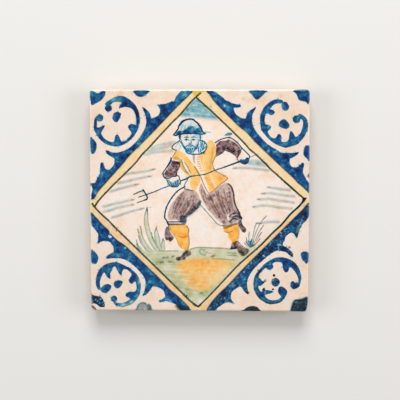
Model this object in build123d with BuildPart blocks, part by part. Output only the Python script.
"""Tin-glazed earthenware wall tile, hand-made in the early seventeenth century.

A slab of clay was rolled out, cut to a wooden pattern with a knife, dried, fired, dipped in white tin
glaze and painted. It is one solid piece. Its painted face is a little larger than its back, because the
knife was held at a slant, so that two tiles could meet at the face with mortar behind. The glaze turns
over the edges of the face in a soft roll. No side is quite straight and no corner is quite square.

The tile lies on its back. The origin is the middle of the back, +Z points out of the painted face, +Y
to the top of the picture and +X to its right.
"""

import math
import os

from build123d import *

# Driving dimensions, in millimetres. The face is measured between the knife's sharp cuts, and the roll of
# the glaze then brings its width to about 130.8, which is five old inches.
face_width = 131.3
face_height = 133.7  # from the bottom to the top of the picture
thickness = 15.0  # at the middle of the face
face_crown = 0.3  # how much lower the face is at the middle of a side than at its own middle
side_undercut = 1.4  # how far the knife ran in between the face and the back, on each side
corner_radius = 2.4  # of the four upright corners, seen from above
glaze_roll = 1.2  # radius at which the glaze turns over the edge of the face
back_arris = 0.6  # height of the slope where the wet clay's lower edge was wiped

# What the hand did. Each pull draws one corner in from the true rectangle, across and then along.
top_left_pull = (0.1, 0.1)
top_right_pull = (0.1, 0.0)
bottom_right_pull = (0.3, 0.0)
bottom_left_pull = (0.3, 0.9)
left_bow = 0.10  # how far the middle of each side stands out from the line between its corners
right_bow = 0.15
top_bow = 0.05
bottom_bow = -0.20

# Chips in the edges of the face. Each is a shallow shell-shaped break, as a ball would leave, and its bite
# is how far the ball goes in from where the sharp edge was.
corner_chip_radius = 4.2  # of the break that took the bottom left corner
corner_chip_bite = 2.1
second_chip_step = 3.0  # how far up the left side a smaller break follows the first
second_chip_radius = 2.8
second_chip_bite = 1.3
left_nick_height = 10.0  # above the middle of the left side
left_nick_radius = 1.8
left_nick_bite = 0.95
right_nick_height = 15.2  # above the middle of the right side
right_nick_radius = 2.4
right_nick_bite = 1.15


def side_arcs(inset):
    """The four bowed sides of the outline, drawn in by inset, each as its start, middle and end."""
    half_width = face_width / 2 - inset
    half_height = face_height / 2 - inset
    corners = [
        Vector(-half_width + top_left_pull[0], half_height - top_left_pull[1]),
        Vector(-half_width + bottom_left_pull[0], -half_height + bottom_left_pull[1]),
        Vector(half_width - bottom_right_pull[0], -half_height + bottom_right_pull[1]),
        Vector(half_width - top_right_pull[0], half_height - top_right_pull[1]),
    ]
    arcs = []
    for number, bow in enumerate([left_bow, bottom_bow, right_bow, top_bow]):
        start = corners[number]
        end = corners[(number + 1) % len(corners)]
        outward = (end - start).normalized().rotate(Axis.Z, -90)
        arcs.append((start, (start + end) / 2 + outward * bow, end))
    return arcs


def cut_chip(edge_point, outward, radius, bite):
    """Breaks a shell-shaped chip out of the open part: a ball that reaches bite deep at edge_point."""
    towards_the_ball = (Vector(*outward).normalized() + Vector(0, 0, 1)).normalized()
    with Locations(edge_point + towards_the_ball * (radius - bite)):
        Sphere(radius, mode=Mode.SUBTRACT)


with BuildPart() as tile:
    # The slab, from the smaller back up to the larger face, with the wiped arris round its back.
    inset_above_arris = side_undercut * (1 - back_arris / thickness)
    sections = [(0, inset_above_arris + back_arris), (back_arris, inset_above_arris), (thickness, 0)]
    for height, inset in sections:
        with BuildSketch(Plane.XY.offset(height)) as outline:
            with BuildLine():
                for start, middle, end in side_arcs(inset):
                    ThreePointArc(start, middle, end)
            make_face()
            fillet(outline.vertices(), corner_radius)
    loft(ruled=True)

    # The face is very slightly crowned, as clay that dried from its edges is.
    crown_radius = (face_width / 2) ** 2 / (2 * face_crown)
    with Locations((0, 0, thickness - crown_radius)):
        Sphere(crown_radius, mode=Mode.INTERSECT)

    # The glaze roll round the face.
    painted_face = tile.faces().sort_by(Axis.Z)[-1]
    fillet(painted_face.edges(), glaze_roll)

    # The broken bottom left corner, in two overlapping shells, and a nick in each upright side.
    left_edge = -face_width / 2
    right_edge = face_width / 2
    bottom_edge = -face_height / 2
    edge_level = thickness - face_crown
    sharp_corner = Vector(left_edge + bottom_left_pull[0], bottom_edge + bottom_left_pull[1], edge_level)
    rounded_off = corner_radius * (1 - math.sqrt(0.5))
    corner = sharp_corner + Vector(rounded_off, rounded_off, 0)
    cut_chip(corner, (-1, -1, 0), corner_chip_radius, corner_chip_bite)
    above_the_corner = sharp_corner + Vector(0, corner_radius + second_chip_step, 0)
    cut_chip(above_the_corner, (-1, 0, 0), second_chip_radius, second_chip_bite)
    left_nick = Vector(left_edge, left_nick_height, edge_level)
    cut_chip(left_nick, (-1, 0, 0), left_nick_radius, left_nick_bite)
    right_nick = Vector(right_edge, right_nick_height, edge_level)
    cut_chip(right_nick, (1, 0, 0), right_nick_radius, right_nick_bite)

tile.part.label = "tile"
os.makedirs("parts", exist_ok=True)
export_step(tile.part, "parts/tile.step")
